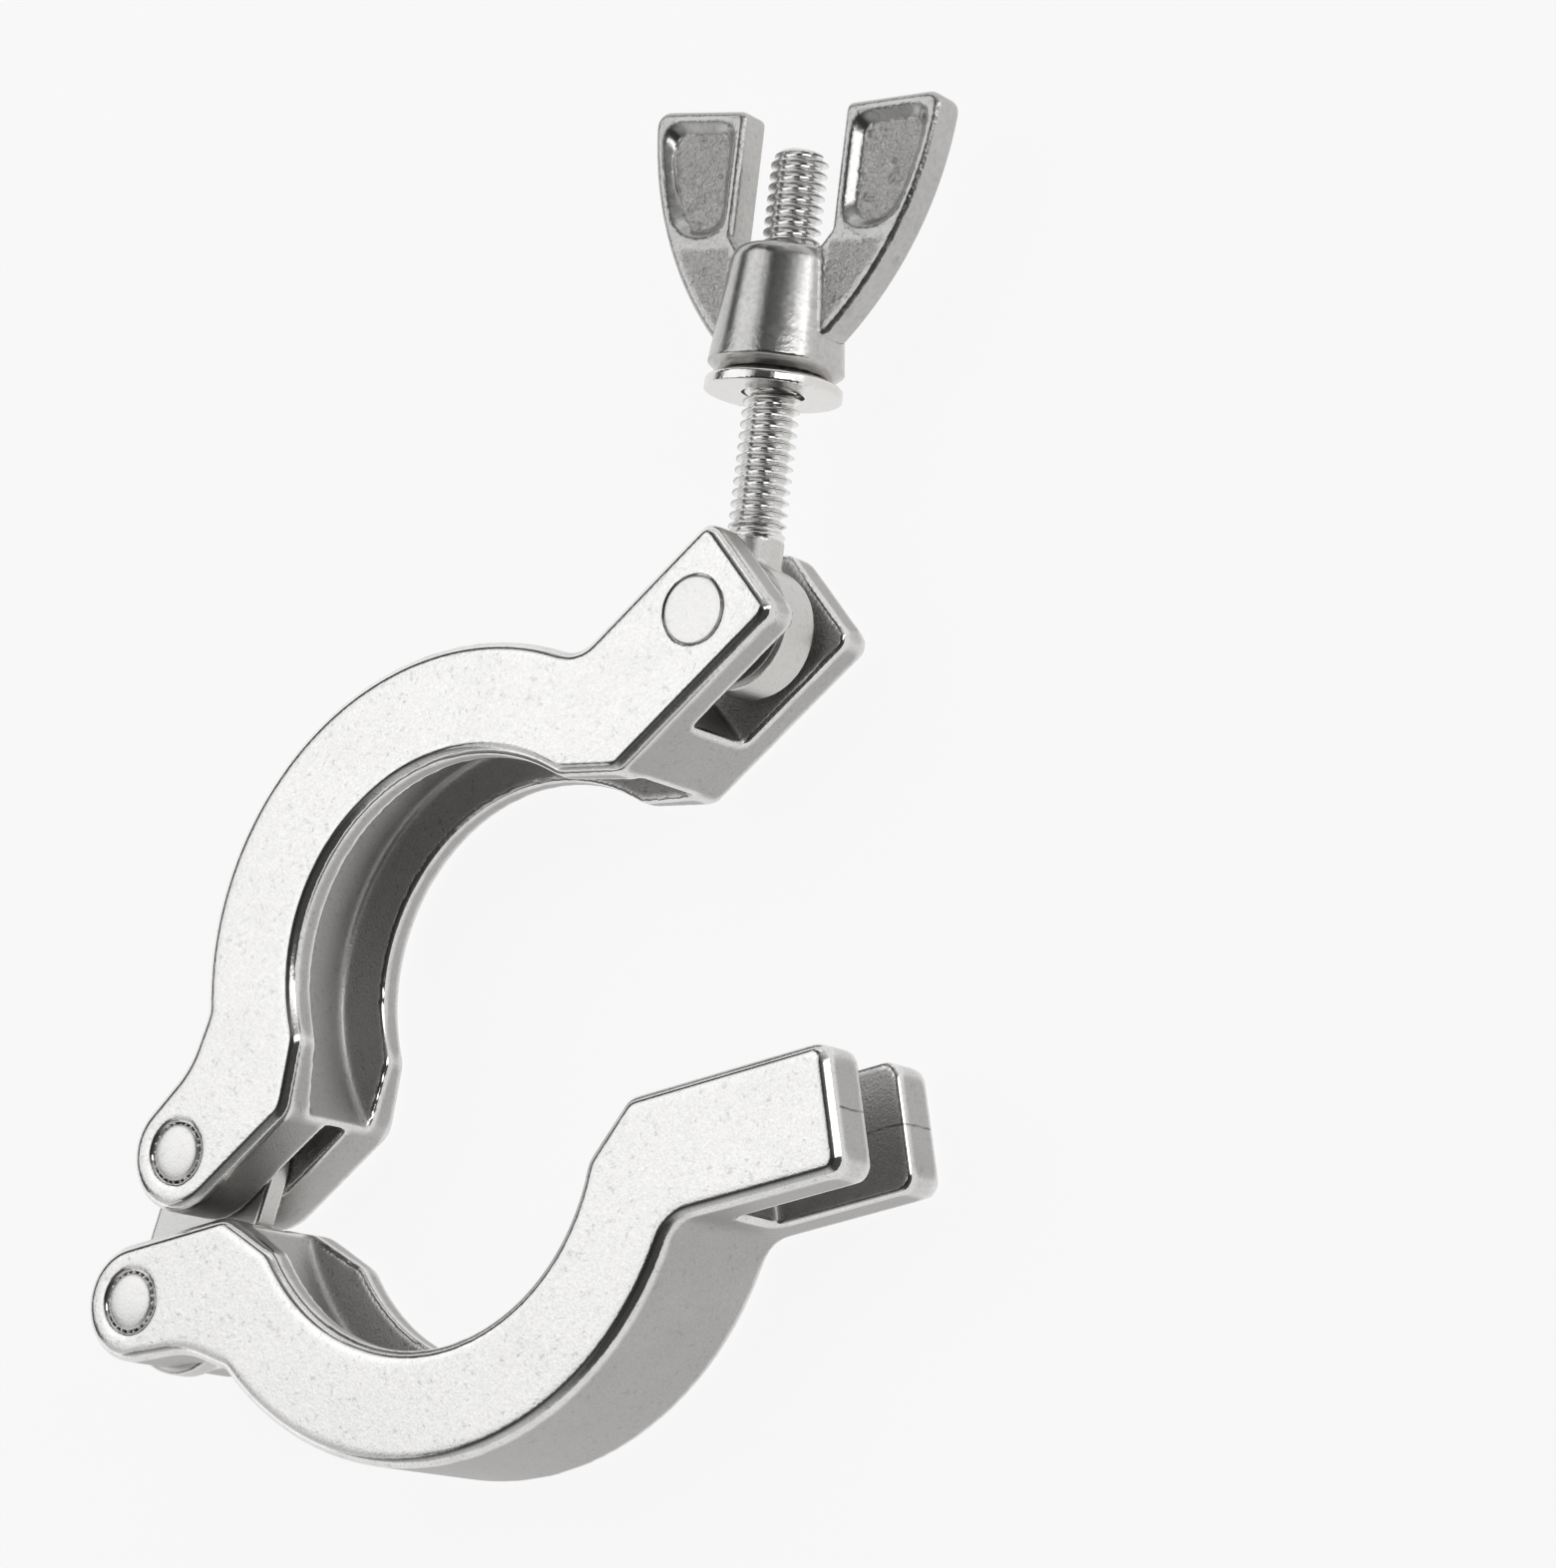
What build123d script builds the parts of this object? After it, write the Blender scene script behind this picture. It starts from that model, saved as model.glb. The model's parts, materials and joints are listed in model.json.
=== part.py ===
# KF flange clamp: two hinged cast jaws with a V groove, a link, and a swing bolt with a wing nut.
# Frame: the flange centre line of the lower jaw is the Z axis, and Z = 0 is the middle of the
# clamp's thickness, where the two flanges meet. +X runs along the lower jaw's closing line from
# hinge to lug, +Z is up, and the whole clamp lies on its side, flat on Z = -WIDTH / 2.
import math
import os

from build123d import *

os.makedirs("parts", exist_ok=True)

# ---- driving dimensions, mm ------------------------------------------------------------------
WIDTH = 20.0            # thickness of both jaws, along the flange axis
LIP_R = 22.75           # inside radius of the two lips that reach over the flange
GROOVE_R = 27.8         # radius of the groove floor, clears a 55 mm flange
GROOVE_FLOOR = 10.2     # width of the groove floor
GROOVE_DEG = 15.0       # taper of each groove flank
OUTER_R = 35.3          # outside radius of the jaws
FACE_GAP = 2.1          # each closing face stops this far short of the centre line
EDGE_BREAK = 0.9        # broken edge round the big flat faces
LUG_REACH = 17.7        # both lugs stand this far out of the ring
LUG_DEPTH = 14.3        # thickness of the lugs across the closing line
LUG_CORNER_R = 1.8      # rounded lug corners
LUG_ROOT_R = 4.0        # fillet where the lug meets the outside
FLARE_RISE = 5.5        # the lips open out over this height above the closing faces
FLARE_R = 3.0           # rounding at both ends of that opening out
EAR_R = 6.6             # hinge ears
NECK_R = 10.0           # hollow between hinge ear and ring
NECK_DROP = 1.1         # the hollow's low point, above the ear's top
HINGE_PIN_R = 3.35
LINK_T = 3.0            # thickness of the link plate
LINK_R = 7.3            # end radius of the link plate
LINK_CUT_R = 4.0        # corner of the saw cut for the link
BOLT_PIN_R = 3.5
BOLT_SET_IN = 7.6       # bolt pin from the lug's tip
BOLT_Y = 9.4            # bolt pin height above the closing line
CLEVIS_SLOT = 9.6       # slot in the upper lug that holds the bolt eye
BOLT_SLOT = 7.4         # slot in the lower lug that takes the bolt
SLOT_WALL = 0.6         # both slots stop this far outside the ring
EYE_R = 7.3             # eye of the swing bolt
EYE_T = 6.2
THREAD_R = 3.175        # outside radius of the thread
BOLT_LENGTH = 53.4      # pin centre to bolt tip
TIP_CHAMFER = 0.7
WASHER_R = 7.6
WASHER_T = 1.4
WASHER_EDGE = 0.3
NUT_FOOT_R = 6.2
NUT_BASE_R = 7.6
NUT_BASE_H = 3.3
NUT_BEVEL = 1.2
NUT_BOSS_R = 5.9
NUT_BOSS_TOP_R = 5.0
NUT_HEIGHT = 14.6
NUT_SINK = 0.9          # countersink at the foot of the nut's bore
WING_T = 4.4
WING_IN = 6.6           # inner edge of the wings, from the bolt axis
WING_OUT = 19.0         # outer tip of the wings, from the bolt axis
WING_TOP = 31.0         # wing tips, above the nut's foot
WING_TOP_R = 1.6
WING_EDGE = 0.5
POCKET_DEPTH = 0.9      # the pocket in each wing face
POCKET_RIM = 2.6        # rim left round the pocket

# ---- named clearances, mm --------------------------------------------------------------------
GROOVE_RUNOUT = 0.2     # the flare meets the closing face just inside the groove floor
PIN_FIT = 0.06          # running clearance round a hinge pin, radial
LINK_PLAY = 0.3         # link plate to saw cut, each side
SWING_GAP = 0.6         # link end to the inside of its cut
THREAD_FIT = 0.08       # nut bore to thread, radial
WASHER_FIT = 0.3        # washer hole to thread, radial
LUG_CLEAR = 0.25        # washer to the lower lug when the clamp is shut
NUT_GAP = 0.5           # nut to washer, the washer hangs loose

# ---- resting pose, degrees -------------------------------------------------------------------
LINK_OPEN = 29.0        # the link leans in by this much
JAW_OPEN = 27.8         # the upper jaw is turned by this much against the lower jaw
BOLT_OUT = 45.9         # the bolt points this much outward from the upper lug

# ---- worked out ------------------------------------------------------------------------------
LUG_TIP = OUTER_R + LUG_REACH
LUG_BACK = FACE_GAP + LUG_DEPTH
HINGE_X = OUTER_R + EAR_R
HINGE_Y = FACE_GAP + EAR_R
PIN_SPAN = 2 * HINGE_Y
BOLT_X = LUG_TIP - BOLT_SET_IN
SLOT_END = OUTER_R + SLOT_WALL
FLARE_X = GROOVE_R - GROOVE_RUNOUT
FLARE_Y = FACE_GAP + FLARE_RISE
LINK_CUT_X = GROOVE_R + SWING_GAP
WASHER_AT = BOLT_Y + LUG_BACK + LUG_CLEAR
NUT_AT = WASHER_AT + WASHER_T + NUT_GAP
REACH = 4 * OUTER_R     # longer than anything that is cut


def corner(shape, x, y, radius):
    """Rounds the corner of an outline that lies nearest to a point."""
    spot = min(shape.vertices(), key=lambda v: math.hypot(v.X - x, v.Y - y))
    return fillet(spot, radius)


def circle_x(radius, height):
    return math.sqrt(radius**2 - height**2)


def half_ring():
    half = Pos(0, FACE_GAP + REACH / 2) * Rectangle(REACH, REACH)
    return (Circle(OUTER_R) - Circle(LIP_R)) & half


def lug():
    root = circle_x(OUTER_R, LUG_BACK) - LUG_ROOT_R
    length = LUG_TIP - root
    return Pos(root + length / 2, FACE_GAP + LUG_DEPTH / 2) * Rectangle(length, LUG_DEPTH)


def neck_low():
    """Low point of the hollow between ear and ring."""
    return -OUTER_R, HINGE_Y + EAR_R + NECK_DROP / 2


def hinge_end():
    """Ear round the hinge pin, and the neck that carries it."""
    low_x, low_y = neck_low()
    join_y = low_y + EAR_R / 2
    join_x = -circle_x(OUTER_R, join_y) + EDGE_BREAK / 10
    neck = [(-HINGE_X, FACE_GAP), (-HINGE_X, HINGE_Y + EAR_R), (low_x, low_y)]
    neck += [(join_x, join_y), (join_x, FACE_GAP)]
    return Pos(-HINGE_X, HINGE_Y) * Circle(EAR_R) + make_face(Polyline(*neck, close=True))


def flare():
    """The lips open out towards the closing faces at both ends."""
    lip_x = circle_x(LIP_R, FLARE_Y)
    side = [(-FLARE_X, 0), (-FLARE_X, FACE_GAP), (-lip_x, FLARE_Y)]
    side += [(lip_x, FLARE_Y), (FLARE_X, FACE_GAP), (FLARE_X, 0)]
    return make_face(Polyline(*side, close=True))


def jaw_outline():
    """Outline of a jaw: body on the +Y side, hinge at -X, lug at +X."""
    shape = half_ring() + lug() + hinge_end() - flare()
    lip_x = circle_x(LIP_R, FLARE_Y)
    shape = corner(shape, circle_x(OUTER_R, LUG_BACK), LUG_BACK, LUG_ROOT_R)
    shape = corner(shape, LUG_TIP, LUG_BACK, LUG_CORNER_R)
    shape = corner(shape, LUG_TIP, FACE_GAP, LUG_CORNER_R)
    shape = corner(shape, *neck_low(), NECK_R)
    shape = corner(shape, FLARE_X, FACE_GAP, FLARE_R / 2)
    shape = corner(shape, -FLARE_X, FACE_GAP, FLARE_R)
    shape = corner(shape, lip_x, FLARE_Y, FLARE_R)
    return corner(shape, -lip_x, FLARE_Y, FLARE_R)


def groove():
    """V groove that wedges the two flanges together."""
    inner = LIP_R * 0.8
    half = GROOVE_FLOOR / 2
    mouth = half + (GROOVE_R - inner) * math.tan(math.radians(GROOVE_DEG))
    side = [(0, -mouth), (inner, -mouth), (GROOVE_R, -half)]
    side += [(GROOVE_R, half), (inner, mouth), (0, mouth)]
    return revolve(Plane.XZ * make_face(Polyline(*side, close=True)), Axis.Z)


def link_cut():
    """Saw cut for the link, from the hinge end inward."""
    top = HINGE_Y + LINK_R + SWING_GAP
    length = REACH - LINK_CUT_X
    cut = Pos(-LINK_CUT_X - length / 2, top - REACH / 2) * Rectangle(length, REACH)
    cut = corner(cut, -LINK_CUT_X, top, LINK_CUT_R)
    return extrude(cut, LINK_T / 2 + LINK_PLAY, both=True)


def hole(x, y, radius):
    return Pos(x, y, 0) * Cylinder(radius, 2 * WIDTH)


def rims(shape, half):
    """Edges of the two flat faces at plus and minus half a thickness."""
    top = shape.edges().filter_by_position(Axis.Z, half * 0.999, half * 1.001)
    return top + shape.edges().filter_by_position(Axis.Z, -half * 1.001, -half * 0.999)


def jaw(slot):
    """A cast jaw in the closed position, body on the +Y side."""
    body = extrude(jaw_outline(), WIDTH / 2, both=True)
    body = chamfer(rims(body, WIDTH / 2), EDGE_BREAK)
    body -= groove()
    body -= link_cut()
    body -= Pos(SLOT_END + REACH / 2, 0, 0) * Box(REACH, REACH, slot)
    return body - hole(-HINGE_X, HINGE_Y, HINGE_PIN_R)


def pin(x, y, radius):
    rod = Pos(x, y, 0) * Cylinder(radius, WIDTH)
    return chamfer(rod.edges().filter_by(GeomType.CIRCLE), radius / 14)


def link():
    """Link plate lying from the lower pin at the origin to the upper pin on +Y."""
    plate = Circle(LINK_R) + Pos(0, PIN_SPAN) * Circle(LINK_R)
    plate += Pos(0, PIN_SPAN / 2) * Rectangle(2 * LINK_R, PIN_SPAN)
    plate -= Circle(HINGE_PIN_R + PIN_FIT)
    plate -= Pos(0, PIN_SPAN) * Circle(HINGE_PIN_R + PIN_FIT)
    return extrude(plate, LINK_T / 2, both=True)


def swing_bolt():
    """Eye at the origin, threaded rod along +X."""
    eye = Cylinder(EYE_R, EYE_T)
    eye = chamfer(eye.edges().filter_by(GeomType.CIRCLE), EYE_T / 12)
    start = EYE_R / 2
    rod = Cylinder(THREAD_R, BOLT_LENGTH - start)
    tip = rod.edges().filter_by(GeomType.CIRCLE).sort_by(Axis.Z)[-1]
    rod = chamfer(tip, TIP_CHAMFER)
    eye += Pos((BOLT_LENGTH + start) / 2, 0, 0) * Rot(0, 90, 0) * rod
    return eye - hole(0, 0, BOLT_PIN_R + PIN_FIT)


def washer():
    """Stamped washer on the bolt, its rounded side towards the nut."""
    ring = Cylinder(WASHER_R, WASHER_T)
    ring = chamfer(ring.edges().filter_by(GeomType.CIRCLE).sort_by(Axis.Z)[-1], WASHER_EDGE)
    ring -= Cylinder(THREAD_R + WASHER_FIT, 2 * WASHER_T)
    return Pos(WASHER_AT + WASHER_T / 2, 0, 0) * Rot(0, 90, 0) * ring


def nut_body():
    """Turned part of the wing nut, axis on +Z, foot at Z = 0."""
    bevel = NUT_BEVEL
    side = [(0, 0), (NUT_FOOT_R, 0), (NUT_BASE_R, bevel), (NUT_BASE_R, NUT_BASE_H)]
    side += [(NUT_BOSS_R + bevel / 3, NUT_BASE_H + bevel), (NUT_BOSS_R, NUT_BASE_H + 1.6 * bevel)]
    side += [(NUT_BOSS_TOP_R, NUT_HEIGHT - bevel)]
    side += [(NUT_BOSS_TOP_R - 0.3 * bevel, NUT_HEIGHT - 0.3 * bevel)]
    side += [(NUT_BOSS_TOP_R - bevel, NUT_HEIGHT), (0, NUT_HEIGHT)]
    return revolve(Plane.XZ * make_face(Polyline(*side, close=True)), Axis.Z)


def nut_bore():
    bore = THREAD_R + THREAD_FIT
    side = [(0, -NUT_SINK), (bore + 2 * NUT_SINK, -NUT_SINK), (bore, NUT_SINK)]
    side += [(bore, 2 * NUT_HEIGHT), (0, 2 * NUT_HEIGHT)]
    return revolve(Plane.XZ * make_face(Polyline(*side, close=True)), Axis.Z)


def wing_face():
    """Outline of one wing, X out from the bolt axis, Y up from the nut foot."""
    foot = (NUT_BOSS_R + NUT_BEVEL / 3, NUT_BASE_H * 0.9)
    tip = (WING_OUT, WING_TOP)
    bow = (WING_OUT * 0.81, WING_TOP * 0.51)
    inner = (WING_IN, WING_TOP * 0.977)
    heel = (WING_IN, NUT_HEIGHT * 1.1)
    root = (NUT_BOSS_TOP_R * 0.8, NUT_HEIGHT * 0.87)
    rim = Polyline(tip, inner, heel, root, (root[0], foot[1]), foot)
    shape = make_face(Wire([ThreePointArc(foot, bow, tip), *rim.edges()]))
    shape = corner(shape, *tip, WING_TOP_R)
    return corner(shape, *inner, WING_TOP_R / 2)


def pocket_face():
    """Teardrop pocket, a rim's width inside the wing's own outline."""
    top = WING_TOP - POCKET_RIM * 1.1
    inside = WING_IN + POCKET_RIM * 1.1
    point = (WING_OUT * 0.63, WING_TOP * 0.53)
    bow = (WING_OUT * 0.79, WING_TOP * 0.68)
    tip = (WING_OUT - POCKET_RIM, top)
    heel = (inside, WING_TOP * 0.6)
    rim = Polyline(tip, (inside, top), heel, point)
    shape = make_face(Wire([ThreePointArc(point, bow, tip), *rim.edges()]))
    for spot in (tip, (inside, top), heel):
        shape = corner(shape, *spot, WING_TOP_R)
    return corner(shape, *point, WING_TOP_R / 2)


def wing():
    plate = extrude(wing_face(), WING_T / 2, both=True)
    plate = chamfer(rims(plate, WING_T / 2), WING_EDGE)
    dip = extrude(pocket_face(), WING_T / 2, both=True)
    for side in (-1, 1):
        plate -= Pos(0, 0, side * (WING_T - POCKET_DEPTH)) * dip
    return plate


def wing_nut():
    """Cast wing nut on the bolt, wings in the plane of the clamp."""
    leaf = Rot(0, 0, -90) * mirror(wing(), Plane.YZ)
    nut = Rot(0, 90, 0) * nut_body() + leaf + mirror(leaf, Plane.XZ)
    return Pos(NUT_AT, 0, 0) * (nut - Rot(0, 90, 0) * nut_bore())


# ---- placing ---------------------------------------------------------------------------------
def upper_place():
    """Where the upper jaw's closed frame lies in the resting pose."""
    lean = math.radians(LINK_OPEN)
    turn = math.radians(JAW_OPEN)
    pin_x = -HINGE_X + PIN_SPAN * math.sin(lean)
    pin_y = -HINGE_Y + PIN_SPAN * math.cos(lean)
    back_x = -HINGE_X * math.cos(turn) - HINGE_Y * math.sin(turn)
    back_y = -HINGE_X * math.sin(turn) + HINGE_Y * math.cos(turn)
    return Pos(pin_x - back_x, pin_y - back_y, 0) * Rot(0, 0, JAW_OPEN)


def nodes():
    """Every piece in its resting place, by name."""
    upper = upper_place()
    bolt = upper * Pos(BOLT_X, BOLT_Y, 0) * Rot(0, 0, BOLT_OUT)
    clevis = jaw(CLEVIS_SLOT) - hole(BOLT_X, BOLT_Y, BOLT_PIN_R)
    return {
        "lower_jaw": mirror(jaw(BOLT_SLOT), Plane.XZ),
        "lower_hinge_pin": pin(-HINGE_X, -HINGE_Y, HINGE_PIN_R),
        "hinge_link": Pos(-HINGE_X, -HINGE_Y, 0) * Rot(0, 0, -LINK_OPEN) * link(),
        "upper_jaw": upper * clevis,
        "upper_hinge_pin": upper * pin(-HINGE_X, HINGE_Y, HINGE_PIN_R),
        "bolt_pin": upper * pin(BOLT_X, BOLT_Y, BOLT_PIN_R),
        "swing_bolt": bolt * swing_bolt(),
        "washer": bolt * washer(),
        "wing_nut": bolt * wing_nut(),
    }


def main():
    for name, shape in nodes().items():
        solid = shape.solids()[0]
        solid.label = name
        export_step(solid, f"parts/{name}.step")
        print(name, len(shape.solids()), round(solid.volume), solid.bounding_box().size)


main()
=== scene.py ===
# %% [markdown]
# # A hinged clamp for vacuum flanges
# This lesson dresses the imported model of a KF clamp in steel. The pieces already have their true
# size and place. Here they get rounded edges, a rolled thread, staked pins and the finish of
# stainless castings that have been blasted and tumbled. All lengths are in metres.

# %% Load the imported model
import json
import math

import bmesh
import bpy
import numpy as np
from mathutils import Matrix, Vector
from mathutils.kdtree import KDTree

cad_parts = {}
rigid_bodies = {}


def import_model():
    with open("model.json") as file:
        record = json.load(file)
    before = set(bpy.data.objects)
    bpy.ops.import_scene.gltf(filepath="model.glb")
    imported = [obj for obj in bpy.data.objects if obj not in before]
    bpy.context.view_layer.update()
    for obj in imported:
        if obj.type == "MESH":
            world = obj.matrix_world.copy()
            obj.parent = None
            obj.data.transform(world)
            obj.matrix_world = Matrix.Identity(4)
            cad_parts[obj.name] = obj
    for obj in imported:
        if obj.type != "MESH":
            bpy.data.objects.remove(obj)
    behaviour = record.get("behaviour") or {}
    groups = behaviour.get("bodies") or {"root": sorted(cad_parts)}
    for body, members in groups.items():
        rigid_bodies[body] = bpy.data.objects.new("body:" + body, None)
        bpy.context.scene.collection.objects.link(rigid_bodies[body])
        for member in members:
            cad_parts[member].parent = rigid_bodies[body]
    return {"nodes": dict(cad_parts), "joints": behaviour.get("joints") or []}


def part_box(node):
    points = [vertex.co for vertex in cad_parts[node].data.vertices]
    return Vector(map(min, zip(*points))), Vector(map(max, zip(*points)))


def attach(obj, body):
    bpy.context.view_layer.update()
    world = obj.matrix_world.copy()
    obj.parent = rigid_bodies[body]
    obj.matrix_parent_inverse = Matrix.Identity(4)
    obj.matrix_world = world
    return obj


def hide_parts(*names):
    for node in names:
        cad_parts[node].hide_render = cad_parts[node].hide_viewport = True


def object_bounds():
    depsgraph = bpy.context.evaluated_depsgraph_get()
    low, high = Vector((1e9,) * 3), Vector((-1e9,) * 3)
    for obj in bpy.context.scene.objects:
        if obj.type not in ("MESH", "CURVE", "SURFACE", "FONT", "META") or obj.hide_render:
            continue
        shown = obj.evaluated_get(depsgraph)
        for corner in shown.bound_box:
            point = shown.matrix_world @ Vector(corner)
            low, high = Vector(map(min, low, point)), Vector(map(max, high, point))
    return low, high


for leftover in list(bpy.data.objects):
    bpy.data.objects.remove(leftover)
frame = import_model()
cad_box = [list(corner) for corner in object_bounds()]

# %% [markdown]
# ## Sizes
# Nothing is measured twice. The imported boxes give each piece's place, and the joints give the
# line of each pin and of the bolt. Only the small things that the solids leave out, such as the
# thread's pitch or the rounding of an edge, are named here.

# %% Read places from the frame
MM = 0.001
joints = {joint["name"]: joint for joint in frame["joints"]}


def pin_line(joint_name):
    """The point in the middle of a hinge pin."""
    return Vector(joints[joint_name]["pos_m"])


def across(node):
    """Size of a node's box along X, Y and Z."""
    low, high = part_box(node)
    return high - low


LOWER_PIN = pin_line("link_swing")
UPPER_PIN = pin_line("jaw_swing")
BOLT_PIN = pin_line("bolt_swing")
BOLT_AXIS = Vector(joints["washer_slide"]["axis"]).normalized()
FACE_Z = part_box("lower_jaw")[1].z
FLOOR_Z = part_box("lower_jaw")[0].z
HINGE_PIN_R = across("lower_hinge_pin").x / 2
BOLT_PIN_R = across("bolt_pin").x / 2
THREAD_R = across("swing_bolt").z / 2
BOLT_LENGTH = max((v.co - BOLT_PIN).dot(BOLT_AXIS) for v in frame["nodes"]["swing_bolt"].data.vertices)
TRAVEL = joints["washer_slide"]["range_m"][1]
PITCH = TRAVEL * 2 * math.pi / math.radians(joints["nut_spin"]["range_deg"][1])
print("thread radius", round(THREAD_R / MM, 3), "pitch", round(PITCH / MM, 3),
      "bolt length", round(BOLT_LENGTH / MM, 2))

# %% [markdown]
# ## Camera
# The camera looks steeply down on the clamp and is rolled so that the bolt points up. A long
# lens keeps the two jaws nearly parallel, as in a catalogue view.

# %% Place the camera
VIEW_TARGET = Vector((45.12, 29.735, 0)) * MM
VIEW_AZIMUTH = math.radians(-31.351)
VIEW_ELEVATION = math.radians(53.838)
VIEW_DISTANCE = 545.44 * MM
VIEW_ROLL = math.radians(-71.071)
LENS = 118.12


def look_axes(azimuth, elevation, roll):
    """Right, up and backward axes of a camera that looks at its target."""
    back = Vector((math.cos(elevation) * math.cos(azimuth), math.cos(elevation) * math.sin(azimuth),
                   math.sin(elevation)))
    level = Vector((0, 0, 1)).cross(back).normalized()
    rise = back.cross(level)
    right = level * math.cos(roll) + rise * math.sin(roll)
    return right, back.cross(right), back


right, up, back = look_axes(VIEW_AZIMUTH, VIEW_ELEVATION, VIEW_ROLL)
lens = bpy.data.cameras.new("catalogue_lens")
lens.lens = LENS
lens.sensor_fit = "HORIZONTAL"
lens.sensor_width = 36
camera = bpy.data.objects.new("catalogue_camera", lens)
camera.matrix_world = Matrix((right, up, back)).transposed().to_4x4()
camera.location = VIEW_TARGET + back * VIEW_DISTANCE
bpy.context.scene.view_settings.view_transform = "Standard"
bpy.context.scene.collection.objects.link(camera)
bpy.context.scene.camera = camera
print("camera at", [round(value, 4) for value in camera.location])

# %% [markdown]
# ## Helpers for nodes
# Materials and node tools are wired by a few short helpers. A value that is a socket is linked,
# and a plain number is written on the input.

# %% Wire nodes
def add(tree, kind, **settings):
    node = tree.nodes.new(kind)
    for key, value in settings.items():
        setattr(node, key, value)
    return node


def feed(tree, target, source):
    if isinstance(source, bpy.types.NodeSocket):
        tree.links.new(source, target)
    else:
        target.default_value = source


def calc(tree, operation, first, second=0.0, third=0.0):
    """One step of arithmetic, for shader and geometry trees."""
    node = add(tree, "ShaderNodeMath", operation=operation)
    for target, source in zip(node.inputs, (first, second, third)):
        feed(tree, target, source)
    return node.outputs[0]


def blend(tree, share, first, second):
    """A colour between two others."""
    node = add(tree, "ShaderNodeMix", data_type="RGBA")
    feed(tree, node.inputs[0], share)
    feed(tree, node.inputs[6], first)
    feed(tree, node.inputs[7], second)
    return node.outputs[2]


def remap(tree, value, low, high, start=0.0, end=1.0):
    """Stretches a range of values onto another, and cuts off what lies outside."""
    node = add(tree, "ShaderNodeMapRange")
    for target, source in zip(node.inputs, (value, low, high, start, end)):
        feed(tree, target, source)
    return node.outputs[0]


# %% [markdown]
# ## Cast skin
# Investment castings are blasted with fine beads and then tumbled. Blasting leaves a very fine
# speckle, and the metal under it keeps soft clouds from the mould. One node group makes both
# patterns, and every steel places it with its own scale.

# %% Build the cast skin group
def new_group(name, inputs, outputs):
    group = bpy.data.node_groups.new(name, "ShaderNodeTree")
    for title, kind, value in inputs:
        socket = group.interface.new_socket(name=title, in_out="INPUT", socket_type=kind)
        if value is not None:
            socket.default_value = value
    for title, kind in outputs:
        group.interface.new_socket(name=title, in_out="OUTPUT", socket_type=kind)
    return group, add(group, "NodeGroupInput"), add(group, "NodeGroupOutput")


def noise(tree, place, scale, detail, rough=0.55):
    node = add(tree, "ShaderNodeTexNoise")
    feed(tree, node.inputs["Vector"], place)
    feed(tree, node.inputs["Scale"], scale)
    feed(tree, node.inputs["Detail"], detail)
    feed(tree, node.inputs["Roughness"], rough)
    return node.outputs["Fac"]


skin, skin_in, skin_out = new_group(
    "cast_skin",
    [("Place", "NodeSocketVector", None), ("Speckle per metre", "NodeSocketFloat", 2600.0),
     ("Clouds per metre", "NodeSocketFloat", 120.0)],
    [("Speckle", "NodeSocketFloat"), ("Clouds", "NodeSocketFloat"), ("Pits", "NodeSocketFloat")])
speckle = noise(skin, skin_in.outputs[0], skin_in.outputs[1], 3.0)
clouds = noise(skin, skin_in.outputs[0], skin_in.outputs[2], 4.0)
pit_scale = calc(skin, "MULTIPLY", skin_in.outputs[1], 0.35)
pit_field = noise(skin, skin_in.outputs[0], pit_scale, 2.0)
feed(skin, skin_out.inputs[0], remap(skin, speckle, 0.3, 0.7))
feed(skin, skin_out.inputs[1], remap(skin, clouds, 0.3, 0.7))
feed(skin, skin_out.inputs[2], remap(skin, pit_field, 0.60, 0.72))
print("group", skin.name, "outputs", [item.name for item in skin.interface.items_tree][:3])

# %% [markdown]
# ## Polished edges with a painted highlight
# Tumbling rubs the edges smoother than the flats, and their colour is lifted as a painted
# highlight. The bright line could be painted by hand, but then it wouldn't follow a change of
# shape. So each point of a rounded edge carries a mark, and this group breaks the mark up a
# little, so that the painted highlight isn't ruled.

# %% Build the polished edge group
polish, polish_in, polish_out = new_group(
    "edge_polish_highlight",
    [("Place", "NodeSocketVector", None), ("Edge", "NodeSocketFloat", 0.0),
     ("Breaks per metre", "NodeSocketFloat", 600.0)],
    [("Shine", "NodeSocketFloat")])
breaks = noise(polish, polish_in.outputs[0], polish_in.outputs[2], 3.0)
kept = remap(polish, breaks, 0.25, 0.5, 0.82, 1.0)
feed(polish, polish_out.inputs[0], calc(polish, "MULTIPLY", polish_in.outputs[1], kept))
print("group", polish.name)
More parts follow.
